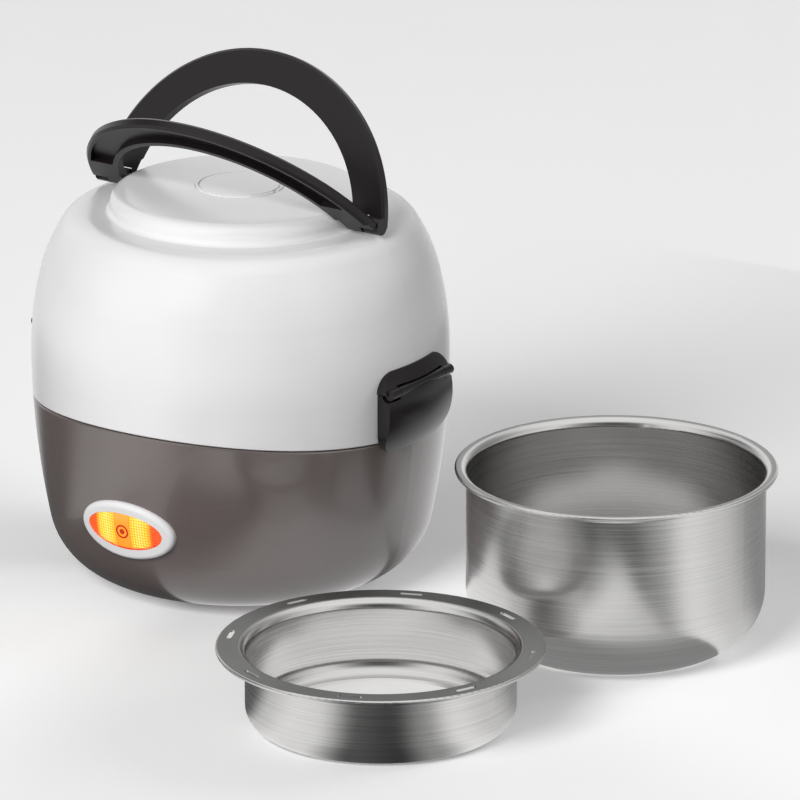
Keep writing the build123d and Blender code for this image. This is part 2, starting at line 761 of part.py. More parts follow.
def make_bail(inner_knuckles, lean):
    """One bail handle, built upright on the -Y side of the pin and then leant forwards."""
    centre_z = hinge_z - bail_centre_down
    bail_span = 2.0 * bail_out_r
    upright = Plane(origin=(0, -bails_gap / 2.0, centre_z), x_dir=(1, 0, 0), z_dir=(0, -1, 0))
    hoop = Circle(bail_out_r) - Circle(bail_in_r)
    above_pin = Pos(0, bail_centre_down + bail_out_r) * Rectangle(bail_span, bail_span)
    hoop = hoop & above_pin
    bail = upright * extrude(hoop, amount=bail_t)
    outer_arcs = [edge for edge in bail.edges() if abs(edge.length - longest_edge(bail)) < same_length]
    bail = chamfer(outer_arcs, bail_edge)
    channel = Circle(bail_out_r - bail_channel_rim) - Circle(bail_in_r + bail_channel_rim)
    floor_y = bail_centre_down + bail_channel_end + bail_out_r
    channel = channel & (Pos(0, floor_y) * Rectangle(bail_span, bail_span))
    groove_plane = upright.offset(bail_t - bail_channel_depth)
    bail -= groove_plane * extrude(channel, amount=bail_t)
    heel_y = bails_gap / 2.0 + heel_t
    outer_y = heel_y + bail_t
    heel = Polyline((heel_y, 0), (heel_y, heel_l), (outer_y, heel_l + bail_t), (outer_y, 0), close=True)
    heel_plane = Plane(origin=(bail_out_r, 0, hinge_z), x_dir=(0, -1, 0), z_dir=(-1, 0, 0))
    bail -= heel_plane * extrude(make_face(heel), amount=bail_span)
    own = knuckle_span(inner_knuckles)
    other = knuckle_span(not inner_knuckles)
    pin_end = knuckle_span(False)[1] - knuckle_end_wall
    clear_r = knuckle_r + knuckle_gap
    room_low = (other[0] - knuckle_gap, -outer_y, hinge_z - clear_r)
    room_high = (other[1] + knuckle_gap, outer_y, hinge_z + clear_r)
    other_room = block(room_low, room_high)
    bail -= other_room
    bail -= left(other_room)
    for side in (-1, 1):
        near = (side * own[0], 0, hinge_z)
        bail += rod(knuckle_r, near, (side * own[1], 0, hinge_z))
        bail -= rod(hinge_pin_r + hinge_pin_fit, (0, 0, hinge_z), (side * pin_end, 0, hinge_z))
    return bail.rotate(Axis((0, 0, hinge_z), (1, 0, 0)), lean)


def make_front_handle():
    """The handle that leans forwards, with its knuckles next to the crown."""
    return make_bail(True, front_lean)


def make_rear_handle():
    """The handle that leans back, with its knuckles at the ends of the pins."""
    return mirror(make_bail(False, rear_lean), about=Plane.XZ)


def make_handle_pins():
    """One steel pin on each side, pushed out from inside the crown through both handles."""
    end = knuckle_span(False)[1] - knuckle_end_wall - knuckle_gap
    pins = []
    for side in (-1, 1):
        root = (side * (crown_r - hinge_pin_root), 0, hinge_z)
        pins.append(rod(hinge_pin_r, root, (side * end, 0, hinge_z)))
    return pins


def clip_leaf():
    """The whole outside shape of the right clip, flap and bracket together, with its back cut deep."""
    root_r = belly_r + clip_clear
    back_r = belly_r - lid_flank_in
    middle = (belly_r + clip_proud, (clip_low_z + clip_high_z) / 2.0)
    bulge = ThreePointArc((root_r, clip_low_z), middle, (root_r, clip_high_z))
    back = Polyline((root_r, clip_high_z), (back_r, clip_high_z), (back_r, clip_low_z), (root_r, clip_low_z))
    half_turn = math.degrees(math.asin(clip_w / 2.0 / back_r))
    section = Plane.XZ * make_face([bulge, back])
    leaf = Rot(0, 0, -half_turn) * revolve(section, axis=Axis.Z, revolution_arc=2.0 * half_turn)
    height = clip_high_z - clip_low_z
    side = Plane(origin=(0, 0, middle[1]), x_dir=(0, 1, 0), z_dir=(1, 0, 0))
    outline = side * extrude(RectangleRounded(clip_w, height, clip_corner), amount=2.0 * belly_r)
    return leaf & outline


def clip_pivot():
    """Radius and height of the pin that the right clip swings on."""
    return belly_r + clip_clear + clip_knuckle_r + clip_pin_fit, clip_pivot_z


def clip_rod(radius, start_y, end_y):
    """A bar along the right clip's pin."""
    pivot_x, pivot_z = clip_pivot()
    return rod(radius, (pivot_x, start_y, pivot_z), (pivot_x, end_y, pivot_z))


def make_right_clip():
    """The flap: its knuckle turns on the pin and its lower end laps over the base."""
    reach = 2.0 * belly_r
    below = block((0, -clip_w, 0), (reach, clip_w, clip_pivot_z - clip_side_gap))
    flap = (clip_leaf() & below) - disc(belly_r + clip_clear, 0, crown_top_z)
    half = clip_knuckle_w / 2.0
    lug_clear_r = clip_knuckle_r + clip_swing_gap
    for start_y, end_y in ((half, clip_w), (-clip_w, -half)):
        flap -= clip_rod(lug_clear_r, start_y, end_y)
    flap += clip_rod(clip_knuckle_r, -half, half)
    return flap - clip_rod(clip_pin_r + clip_pin_fit, -clip_w, clip_w)


def make_right_clip_bracket():
    """The bracket on the lid: the top of the clip's shape, with a lug at each end for the pin."""
    reach = 2.0 * belly_r
    above = block((0, -clip_w, clip_pivot_z), (reach, clip_w, crown_top_z))
    bracket = clip_leaf() & above
    lug_start = clip_knuckle_w / 2.0 + clip_side_gap
    lug_end = clip_w / 2.0 - clip_lug_inset
    for start_y, end_y in ((lug_start, lug_end), (-lug_end, -lug_start)):
        bracket += clip_rod(clip_knuckle_r, start_y, end_y)
    bracket -= clip_rod(clip_knuckle_r + clip_swing_gap, -lug_start, lug_start)
    bracket -= body
    return bracket - clip_rod(clip_pin_r, -lug_end + clip_pin_end, lug_end - clip_pin_end)


def make_right_clip_pin():
    """The steel pin of the right clip, held in the bracket's lugs."""
    end_y = clip_w / 2.0 - clip_lug_inset - clip_pin_end
    return clip_rod(clip_pin_r, -end_y, end_y)


def pot_place():
    """Where the pot stands, beside the right clip."""
    away = belly_r + pot_gap + pot_rim_r
    angle = math.radians(pot_bearing)
    return Vector(away * math.cos(angle), away * math.sin(angle), 0)


def dish_place():
    """Where the dish stands, in front of the pot."""
    away = pot_rim_r + dish_gap + dish_rim_r
    angle = math.radians(dish_bearing)
    return pot_place() + Vector(away * math.cos(angle), away * math.sin(angle), 0)


def make_inner_pot():
    """The inner pot, standing on the floor."""
    pot = sheet_cup(pot_r, pot_h, pot_corner_r, pot_flare_r, pot_rim_r, pot_bead_r, pot_sheet)
    return Pos(pot_place()) * pot


def make_steam_dish():
    """The steam dish with slots in its flange, standing on the floor."""
    dish = sheet_cup(dish_r, dish_h, dish_corner_r, dish_flare_r, dish_rim_r, dish_bead_r, dish_sheet)
    slot = Rot(0, 0, 90) * extrude(SlotOverall(dish_slot_l, dish_slot_w), amount=2.0 * dish_flare_r)
    for place in around(dish_slots, dish_slot_r, 180.0 / dish_slots):
        dish -= place * Pos(0, 0, dish_h - dish_flare_r) * slot
    return Pos(dish_place()) * dish


def main():
    """Makes every piece and writes it to its own file."""
    right_clip = make_right_clip()
    right_bracket = make_right_clip_bracket()
    right_pin = make_right_clip_pin()
    nodes = {
        "base_shell": make_base_shell(),
        "bottom_cover": make_bottom_cover(),
        "bottom_screws": make_bottom_screws(),
        "foot_ring": make_foot_ring(),
        "deck_ring": make_deck_ring(),
        "inner_liner": make_inner_liner(),
        "liner_gasket": make_liner_gasket(),
        "heating_plate": make_heating_plate(),
        "ptc_heater": make_ptc_heater(),
        "heater_clamp": make_heater_clamp(),
        "thermostat": make_thermostat(),
        "thermal_fuse": make_thermal_fuse(),
        "indicator_bezel": make_indicator_bezel(),
        "indicator_lens": make_indicator_lens(),
        "lamp_holder": make_lamp_holder(),
        "signal_lamps": make_signal_lamps(),
        "power_inlet": make_power_inlet(),
        "inlet_pins": make_inlet_pins(),
        "lid_shell": make_lid_shell(),
        "vent_cap": make_vent_cap(),
        "steam_tube": make_steam_tube(),
        "lid_inner_cover": make_lid_inner_cover(),
        "lid_seal": make_lid_seal(),
        "lid_screws": make_lid_screws(),
        "front_handle": make_front_handle(),
        "rear_handle": make_rear_handle(),
        "handle_pins": make_handle_pins(),
        "left_clip": left(right_clip),
        "right_clip": right_clip,
        "left_clip_bracket": left(right_bracket),
        "right_clip_bracket": right_bracket,
        "clip_pins": [left(right_pin), right_pin],
        "inner_pot": make_inner_pot(),
        "steam_dish": make_steam_dish(),
    }
    os.makedirs("parts", exist_ok=True)
    for name, shape in nodes.items():
        if isinstance(shape, list):
            shape = Compound(children=shape)
        export_step(shape, f"parts/{name}.step")


if __name__ == "__main__":
    main()
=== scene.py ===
"""Dresses the mini rice cooker, its inner pot and its steam dish, and sets them in a soft studio."""

from __future__ import annotations

import logging
import math
from dataclasses import dataclass, replace
from enum import Enum
from typing import ClassVar, Iterable, Mapping, Sequence

import bmesh
import bpy
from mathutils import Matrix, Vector


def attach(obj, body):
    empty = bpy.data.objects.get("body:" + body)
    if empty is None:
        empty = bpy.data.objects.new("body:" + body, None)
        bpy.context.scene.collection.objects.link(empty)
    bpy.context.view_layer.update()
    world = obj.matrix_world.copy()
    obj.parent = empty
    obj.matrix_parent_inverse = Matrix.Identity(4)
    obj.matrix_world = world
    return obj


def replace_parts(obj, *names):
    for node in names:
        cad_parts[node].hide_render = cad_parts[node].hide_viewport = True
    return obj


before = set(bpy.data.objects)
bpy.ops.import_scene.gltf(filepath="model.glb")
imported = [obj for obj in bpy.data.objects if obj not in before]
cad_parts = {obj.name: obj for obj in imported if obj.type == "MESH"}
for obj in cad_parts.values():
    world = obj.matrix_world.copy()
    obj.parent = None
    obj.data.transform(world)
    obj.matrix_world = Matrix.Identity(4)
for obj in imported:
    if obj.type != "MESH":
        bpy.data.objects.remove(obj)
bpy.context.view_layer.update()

log = logging.getLogger("rice_cooker")

MM = 0.001
Colour = tuple[float, float, float, float]
WHITE_LIGHT: Colour = (1.0, 1.0, 1.0, 1.0)

# Where the pot and the dish stand, in metres from the cooker's axis.
POT_AT = (0.1854, 0.0097)
DISH_AT = (0.1587, -0.1277)

# The indicator's lens, which its mesh and its finish share, in millimetres.
LENS_WIDTH_MM = 37.4
LENS_HEIGHT_MM = 16.2
LENS_CENTRE_Z_MM = 41.0
LENS_BAND_HALF_MM = 3.75
LENS_PRISM_MM = 1.25


def linear(hex_colour: str) -> Colour:
    """Turns an sRGB hex colour into Blender's linear colour.

    Args:
        hex_colour: Six hex digits after a hash sign.

    Returns:
        Red, green, blue and an alpha of 1.
    """
    parts = []
    for start in (1, 3, 5):
        value = int(hex_colour[start : start + 2], 16) / 255.0
        parts.append(value / 12.92 if value <= 0.04045 else ((value + 0.055) / 1.055) ** 2.4)
    return parts[0], parts[1], parts[2], 1.0


def add_node(
    tree: bpy.types.NodeTree,
    kind: str,
    links: Mapping[str | int, bpy.types.NodeSocket] | None = None,
    values: Mapping[str | int, object] | None = None,
    **settings: object,
) -> bpy.types.Node:
    """Adds a node with its settings, its fixed values and its links.

    Args:
        tree: The node tree that gets the node.
        kind: Blender's name for the node type.
        links: Output sockets to join to this node's inputs.
        values: Fixed values for this node's inputs.
        settings: Properties of the node itself.

    Returns:
        The new node.
    """
    node = tree.nodes.new(kind)
    for name, setting in settings.items():
        setattr(node, name, setting)
    for socket, value in (values or {}).items():
        node.inputs[socket].default_value = value
    for socket, source in (links or {}).items():
        tree.links.new(source, node.inputs[socket])
    return node


def fill_ramp(ramp: bpy.types.Node, stops: Sequence[tuple[float, Colour]]) -> None:
    """Gives a colour ramp its stops.

    Args:
        ramp: The ramp, which has two stops when it is new.
        stops: Position and colour of each stop, in rising order.
    """
    elements = ramp.color_ramp.elements
    while len(elements) < len(stops):
        elements.new(0.5)
    for element, (position, colour) in zip(elements, stops):
        element.position = position
        element.color = colour


class Brushing(Enum):
    """Which way the fine lines of a brushed sheet run."""

    ROUND_UPRIGHT_AXIS = "Z"
    NONE = ""


@dataclass(frozen=True)
class Finish:
    """What every finish has: a name, a colour and how rough it is."""

    name: str
    colour: str
    roughness: float
    pattern_low: ClassVar[float] = 0.3
    pattern_high: ClassVar[float] = 0.7
    rough_low: ClassVar[float] = 0.25
    rough_high: ClassVar[float] = 0.75

    def material(self) -> bpy.types.Material:
        """Gives the Blender material, which is made the first time.

        Returns:
            The material.
        """
        made = bpy.data.materials.get(self.name)
        if made is None:
            made = bpy.data.materials.new(self.name)
            made.use_nodes = True
            made.node_tree.nodes.clear()
            shader = self.shade(made.node_tree)
            add_node(made.node_tree, "ShaderNodeOutputMaterial", {"Surface": shader.outputs["BSDF"]})
        return made

    def shade(self, tree: bpy.types.NodeTree) -> bpy.types.Node:
        """Builds the shader that the material ends in.

        Args:
            tree: The material's empty node tree.

        Returns:
            The shader node.
        """
        raise NotImplementedError

    def place(self, tree: bpy.types.NodeTree) -> bpy.types.NodeSocket:
        """Position on the object in metres, as the patterns need it."""
        return add_node(tree, "ShaderNodeTexCoord").outputs["Object"]

    def tinted(
        self, tree: bpy.types.NodeTree, pattern: bpy.types.NodeSocket, spread: float
    ) -> bpy.types.NodeSocket:
        """Lets the colour drift a little lighter and darker with a pattern.

        Args:
            tree: The material's node tree.
            pattern: A pattern between 0 and 1.
            spread: Share by which the colour drifts to each side.

        Returns:
            The drifting colour.
        """
        red, green, blue, alpha = linear(self.colour)
        low = (red * (1 - spread), green * (1 - spread), blue * (1 - spread), alpha)
        high = (min(red * (1 + spread), 1), min(green * (1 + spread), 1), min(blue * (1 + spread), 1), alpha)
        ramp = add_node(tree, "ShaderNodeValToRGB", {"Fac": pattern})
        fill_ramp(ramp, ((self.pattern_low, low), (self.pattern_high, high)))
        return ramp.outputs["Color"]

    def varied(
        self, tree: bpy.types.NodeTree, pattern: bpy.types.NodeSocket, spread: float
    ) -> bpy.types.NodeSocket:
        """Lets the roughness drift with a pattern.

        Args:
            tree: The material's node tree.
            pattern: A pattern between 0 and 1.
            spread: How far the roughness drifts to each side.

        Returns:
            The drifting roughness.
        """
        drift = add_node(
            tree,
            "ShaderNodeMapRange",
            {"Value": pattern},
            {
                "From Min": self.rough_low,
                "From Max": self.rough_high,
                "To Min": self.roughness - spread,
                "To Max": self.roughness + spread,
            },
        )
        return drift.outputs["Result"]


@dataclass(frozen=True)
class MouldedPlastic(Finish):
    """Injection-moulded plastic: even colour, a surface from polished to finely grained by the mould."""

    grain_mm: float = 0.5
    grain_depth_mm: float = 0.004
    drift: float = 0.03
    gloss_coat: float = 0.0
    ior: float = 1.53
    sheen_level: float = 0.5
    flow_mm: float = 60.0
    rough_drift: float = 0.1
    coat_roughness: float = 0.06

    def shade(self, tree: bpy.types.NodeTree) -> bpy.types.Node:
        """Colour that drifts as the melt flowed, with the mould's grain as a bump.

        Args:
            tree: The material's empty node tree.

        Returns:
            The shader node.
        """
        place = self.place(tree)
        flow = add_node(
            tree, "ShaderNodeTexNoise", {"Vector": place}, {"Scale": 1 / (self.flow_mm * MM), "Detail": 2.0}
        )
        grain = add_node(
            tree, "ShaderNodeTexNoise", {"Vector": place}, {"Scale": 1 / (self.grain_mm * MM), "Detail": 2.0}
        )
        bump = add_node(
            tree,
            "ShaderNodeBump",
            {"Height": grain.outputs["Fac"]},
            {"Strength": 1.0, "Distance": self.grain_depth_mm * MM},
        )
        return add_node(
            tree,
            "ShaderNodeBsdfPrincipled",
            {
                "Base Color": self.tinted(tree, flow.outputs["Fac"], self.drift),
                "Roughness": self.varied(tree, flow.outputs["Fac"], self.roughness * self.rough_drift),
                "Normal": bump.outputs["Normal"],
            },
            {
                "IOR": self.ior,
                "Specular IOR Level": self.sheen_level,
                "Coat Weight": self.gloss_coat,
                "Coat Roughness": self.coat_roughness,
            },
        )


@dataclass(frozen=True)
class Metal(Finish):
    """Bare metal: pressed, brushed, turned or cast."""

    line_mm: float = 0.6
    line_depth_mm: float = 0.004
    drift: float = 0.05
    pull: float = 0.0
    brushing: Brushing = Brushing.NONE
    matt_above_mm: float | None = None
    matt_colour: str = "#8E8E8D"
    matt_roughness: float = 0.55
    matt_fade_mm: tuple[float, float] = (0.4, 0.1)
    matt_facing: tuple[float, float] = (0.9, 0.99)
    line_stretch: float = 0.006
    rough_drift: float = 0.2

    def shade(self, tree: bpy.types.NodeTree) -> bpy.types.Node:
        """Metal whose fine lines run round the upright axis, or an even grain where it isn't brushed.

        Args:
            tree: The material's empty node tree.

        Returns:
            The shader node.
        """
        place = self.place(tree)
        scale = 1 / (self.line_mm * MM)
        stretch = (scale, scale, scale)
        if self.brushing is Brushing.ROUND_UPRIGHT_AXIS:
            stretch = (scale * self.line_stretch, scale * self.line_stretch, scale)
        stretched = add_node(tree, "ShaderNodeMapping", {"Vector": place}, {"Scale": stretch})
        lines = add_node(
            tree, "ShaderNodeTexNoise", {"Vector": stretched.outputs["Vector"]}, {"Scale": 1.0, "Detail": 4.0}
        )
        bump = add_node(
            tree,
            "ShaderNodeBump",
            {"Height": lines.outputs["Fac"]},
            {"Strength": 1.0, "Distance": self.line_depth_mm * MM},
        )
        colour = self.tinted(tree, lines.outputs["Fac"], self.drift)
        roughness = self.varied(tree, lines.outputs["Fac"], self.roughness * self.rough_drift)
        if self.matt_above_mm is not None:
            matt = self.matt_share(tree, place)
            colour = add_node(
                tree, "ShaderNodeMix", {0: matt, 6: colour}, {7: linear(self.matt_colour)}, data_type="RGBA"
            ).outputs[2]
            roughness = add_node(
                tree, "ShaderNodeMix", {0: matt, 2: roughness}, {3: self.matt_roughness}
            ).outputs[0]
        shader = add_node(
            tree,
            "ShaderNodeBsdfPrincipled",
            {"Base Color": colour, "Roughness": roughness, "Normal": bump.outputs["Normal"]},
            {"Metallic": 1.0, "Anisotropic": self.pull},
        )
        if self.brushing is Brushing.ROUND_UPRIGHT_AXIS:
            turn = add_node(tree, "ShaderNodeTangent", direction_type="RADIAL", axis=self.brushing.value)
            tree.links.new(turn.outputs["Tangent"], shader.inputs["Tangent"])
        return shader

    def matt_share(self, tree: bpy.types.NodeTree, place: bpy.types.NodeSocket) -> bpy.types.NodeSocket:
        """Where the flat top of a flange is left matt: high up, and facing up.

        Args:
            tree: The material's node tree.
            place: Position on the object in metres.

        Returns:
            1 on the flange's flat top and 0 elsewhere.
        """
        height = add_node(tree, "ShaderNodeSeparateXYZ", {"Vector": place})
        normal = add_node(tree, "ShaderNodeTexCoord").outputs["Normal"]
        facing = add_node(tree, "ShaderNodeSeparateXYZ", {"Vector": normal})
        start, full = (self.matt_above_mm - fade for fade in self.matt_fade_mm)
        high = add_node(
            tree,
            "ShaderNodeMapRange",
            {"Value": height.outputs["Z"]},
            {"From Min": start * MM, "From Max": full * MM},
        )
        level = add_node(
            tree,
            "ShaderNodeMapRange",
            {"Value": facing.outputs["Z"]},
            {"From Min": self.matt_facing[0], "From Max": self.matt_facing[1]},
        )
        both = add_node(
            tree,
            "ShaderNodeMath",
            {0: high.outputs["Result"], 1: level.outputs["Result"]},
            operation="MULTIPLY",
        )
        return both.outputs[0]


@dataclass(frozen=True)
class LitLens(Finish):
    """Amber acrylic with a painted glow for the two lamps behind it: painted yellow over the lamps, orange
    between, red at the ends.
    """

    # Painted glow colours: over the lamps, at their sides, dim at the ends and in the prism grooves, and at
    # the low rim.
    painted_lamp_glow_colour: str
    painted_lamp_side_glow_colour: str
    painted_dim_glow_colour: str
    painted_rim_glow_colour: str
    centre_z_mm: float
    half_width_mm: float
    half_height_mm: float
    band_half_mm: float
    lamp_from_mm: float
    lamp_to_mm: float
    prism_mm: float
    # Emission strength of the painted glow, as the lens is no lamp itself.
    glow: float
    fade_share: float = 0.12
    groove_share: float = 0.28
    # How far the painted shade in the prism grooves goes towards the dim glow colour.
    painted_groove_shade: float = 0.62
    rim_share: tuple[float, float] = (0.86, 0.97)
    low_share: tuple[float, float] = (-0.2, -0.9)
    ior: float = 1.49
    gloss_coat: float = 0.4
    coat_roughness: float = 0.03

    def shade(self, tree: bpy.types.NodeTree) -> bpy.types.Node:
        """Painted glow colour by distance from the middle and from the rim, with painted shade in the grooves
        between the prisms.

        Args:
            tree: The material's empty node tree.

        Returns:
            The shader node.
        """
        apart = add_node(tree, "ShaderNodeSeparateXYZ", {"Vector": self.place(tree)})
        up = add_node(
            tree, "ShaderNodeMath", {0: apart.outputs["Z"]}, {1: self.centre_z_mm * MM}, operation="SUBTRACT"
        ).outputs[0]
        across = add_node(tree, "ShaderNodeMath", {0: apart.outputs["X"]}, operation="ABSOLUTE").outputs[0]
        share = add_node(
            tree, "ShaderNodeMath", {0: across}, {1: self.half_width_mm * MM}, operation="DIVIDE"
        ).outputs[0]
        rise = add_node(
            tree, "ShaderNodeMath", {0: up}, {1: self.half_height_mm * MM}, operation="DIVIDE"
        ).outputs[0]
        # Painted glow, brightest over the lamps behind the lens.
        lit = self.painted_glow_colour(tree, share)
        # Painted shade in the grooves between the prisms.
        groove_shaded = self.with_painted_groove_shade(tree, lit, apart.outputs["X"], up, across)
        outward = add_node(
            tree,
            "ShaderNodeVectorMath",
            {0: add_node(tree, "ShaderNodeCombineXYZ", {"X": share, "Y": rise}).outputs[0]},
            operation="LENGTH",
        )
        # Painted edge glow along the lower rim of the lens.
        rim = add_node(
            tree,
            "ShaderNodeMapRange",
            {"Value": outward.outputs["Value"]},
            {"From Min": self.rim_share[0], "From Max": self.rim_share[1]},
            interpolation_type="SMOOTHSTEP",
        )
        low = add_node(
            tree,
            "ShaderNodeMapRange",
            {"Value": rise},
            {"From Min": self.low_share[0], "From Max": self.low_share[1]},
        )
        painted_rim_glow = add_node(
            tree, "ShaderNodeMath", {0: rim.outputs["Result"], 1: low.outputs["Result"]}, operation="MULTIPLY"
        )
        whole = add_node(
            tree,
            "ShaderNodeMix",
            {0: painted_rim_glow.outputs[0], 6: groove_shaded},
            {7: linear(self.painted_rim_glow_colour)},
            data_type="RGBA",
        )
        # The painted glow colour is both the base colour and the emission.
        return add_node(
            tree,
            "ShaderNodeBsdfPrincipled",
            {"Base Color": whole.outputs[2], "Emission Color": whole.outputs[2]},
            {
                "Roughness": self.roughness,
                "IOR": self.ior,
                "Emission Strength": self.glow,
                "Coat Weight": self.gloss_coat,
                "Coat Roughness": self.coat_roughness,
            },
        )

    def painted_glow_colour(self, tree: bpy.types.NodeTree, share: bpy.types.NodeSocket) -> bpy.types.NodeSocket:
        """Painted glow: orange in the middle band, yellow over each lamp and orange-red at the ends.

        Args:
            tree: The material's node tree.
            share: Distance from the middle, as a share of half the lens.

        Returns:
            The painted glow colour.
        """
        middle = self.band_half_mm / self.half_width_mm
        near = self.lamp_from_mm / self.half_width_mm
        far = self.lamp_to_mm / self.half_width_mm
        stops = (
            (middle, linear(self.colour)),
            (near, linear(self.painted_lamp_side_glow_colour)),
            ((near + far) / 2, linear(self.painted_lamp_glow_colour)),
            (far, linear(self.painted_lamp_side_glow_colour)),
            (far + self.fade_share, linear(self.painted_dim_glow_colour)),
        )
        ramp = add_node(tree, "ShaderNodeValToRGB", {"Fac": share})
        fill_ramp(ramp, stops)
        return ramp.outputs["Color"]

    def with_painted_groove_shade(
        self,
        tree: bpy.types.NodeTree,
        lit: bpy.types.NodeSocket,
        along: bpy.types.NodeSocket,
        up: bpy.types.NodeSocket,
        across: bpy.types.NodeSocket,
    ) -> bpy.types.NodeSocket:
        """Paints shade into the grooves between the prisms, but not on the plain band in the middle.

        Args:
            tree: The material's node tree.
            lit: The painted glow colour.
            along: Position along the lens in metres.
            up: Height above the lens's middle in metres.
            across: Distance from the middle in metres.

        Returns:
            The colour with painted shade in its grooves.
        """
        grooves = []
        for run in (along, up):
            fold = add_node(
                tree, "ShaderNodeMath", {0: run}, {1: self.prism_mm / 2 * MM}, operation="PINGPONG"
            )
            groove = add_node(
                tree,
                "ShaderNodeMapRange",
                {"Value": fold.outputs[0]},
                {
                    "From Min": 0.0,
                    "From Max": self.prism_mm * self.groove_share * MM,
                    "To Min": self.painted_groove_shade,
                    "To Max": 0.0,
                },
            )
            grooves.append(groove.outputs["Result"])
        either = add_node(tree, "ShaderNodeMath", {0: grooves[0], 1: grooves[1]}, operation="MAXIMUM")
        off_band = add_node(
            tree, "ShaderNodeMath", {0: across}, {1: self.band_half_mm * MM}, operation="GREATER_THAN"
        )
        # Painted shade: the grooves off the middle band turn towards the dim glow colour.
        dark = add_node(
            tree, "ShaderNodeMath", {0: either.outputs[0], 1: off_band.outputs[0]}, operation="MULTIPLY"
        )
        groove_shaded = add_node(
            tree,
            "ShaderNodeMix",
            {0: dark.outputs[0], 6: lit},
            {7: linear(self.painted_dim_glow_colour)},
            data_type="RGBA",
        )
        return groove_shaded.outputs[2]


# Gloss white ABS from a polished mould: a clean bright shell with soft, wide highlights.
GLOSS_WHITE = MouldedPlastic("moulded_gloss_white_abs", "#EDECED", 0.22, grain_mm=1.6, grain_depth_mm=0.0015)
# Taupe ABS with a half-gloss mould face: warm grey-brown with upright light and dark bands.
# Its IOR is above that of bare ABS, so that the bands show.
SATIN_TAUPE = MouldedPlastic(
    "moulded_taupe_abs",
    "#5F5452",
    0.26,
    grain_mm=0.6,
    grain_depth_mm=0.002,
    gloss_coat=0.4,
    ior=1.7,
    sheen_level=0.75,
)
# Near-black polypropylene from a fine-grained mould: handles and clips, dark with soft light edges.
DARK_GRAIN = MouldedPlastic(
    "moulded_dark_polypropylene",
    "#1A1617",
    0.3,
    grain_mm=0.45,
    grain_depth_mm=0.005,
    ior=1.49,
    sheen_level=0.35,
)
# Black polypropylene of hidden and underside parts, with a coarser spark-eroded grain.
BLACK_GRAIN = MouldedPlastic(
    "moulded_black_polypropylene",
    "#1B1A1A",
    0.5,
    grain_mm=0.7,
    grain_depth_mm=0.02,
    ior=1.49,
    sheen_level=0.35,
)
# Black rubber of the foot ring: dull and slightly dusty.
FOOT_RUBBER = MouldedPlastic(
    "moulded_black_rubber", "#232323", 0.8, grain_mm=0.6, grain_depth_mm=0.03, ior=1.52
)
# Milky silicone rings: soft pale sheen.
MILKY_SILICONE = MouldedPlastic(
    "moulded_milky_silicone", "#D9D6CE", 0.45, grain_mm=1.0, grain_depth_mm=0.006, ior=1.41
)
# Stainless steel pot, brushed round and round: bright and dark upright bands, and a matt flange.
# The brush lines are drawn 0.5 mm apart, coarser than real ones, so that they show.
BRUSHED_POT = Metal(
    "brushed_stainless_pot",
    "#D6D5D4",
    0.22,
    line_mm=0.5,
    line_depth_mm=0.0012,
    drift=0.09,
    pull=0.7,
    brushing=Brushing.ROUND_UPRIGHT_AXIS,
    matt_above_mm=78.0,
    matt_colour="#A3A3A2",
)
# The same brushed steel on the shallow dish, whose wide flange is duller.
BRUSHED_DISH = replace(
    BRUSHED_POT, name="brushed_stainless_dish", matt_above_mm=34.0, matt_colour="#8E8E8D"
)
# Stainless sheet pressed and left smooth: the plate inside the lid.
PRESSED_STEEL = Metal("pressed_stainless_sheet", "#C9C8C6", 0.3, line_mm=1.2, line_depth_mm=0.004)
# Zinc-plated steel of screws, pins and the clamp: small, bright, slightly mottled.
PLATED_STEEL = Metal("zinc_plated_steel", "#B9BBBD", 0.34, line_mm=0.8, line_depth_mm=0.006, drift=0.1)
# Drawn aluminium of the well: pale grey with a soft sheen.
DRAWN_ALUMINIUM = Metal(
    "drawn_aluminium",
    "#C6C7C9",
    0.38,
    line_mm=0.5,
    line_depth_mm=0.002,
    pull=0.4,
    brushing=Brushing.ROUND_UPRIGHT_AXIS,
)
# Die-cast aluminium heating plate: matt and finely pitted.
CAST_ALUMINIUM = Metal("die_cast_aluminium", "#A9AAAC", 0.5, line_mm=0.9, line_depth_mm=0.03, drift=0.08)
# Brass contact pins: warm yellow and clean.
DRAWN_BRASS = Metal("drawn_brass", "#D8B56A", 0.25, line_mm=0.5, drift=0.06)
# Glazed ceramic of the heater and the fuse: off-white and smooth.
GLAZED_CERAMIC = MouldedPlastic(
    "glazed_alumina_ceramic", "#E3DED3", 0.3, grain_mm=1.5, gloss_coat=0.3, ior=1.6
)
# Warm lamp glass behind the lens.
LAMP_GLASS = MouldedPlastic("warm_lamp_glass", "#F2C36B", 0.12, grain_mm=2.0, grain_depth_mm=0.001, ior=1.5)
# Orange-red acrylic of the small ring and dot in the middle of the lens.
MARK_RED = MouldedPlastic(
    "moulded_orange_red_acrylic", "#E2380E", 0.2, grain_mm=1.0, grain_depth_mm=0.001, ior=1.49
)
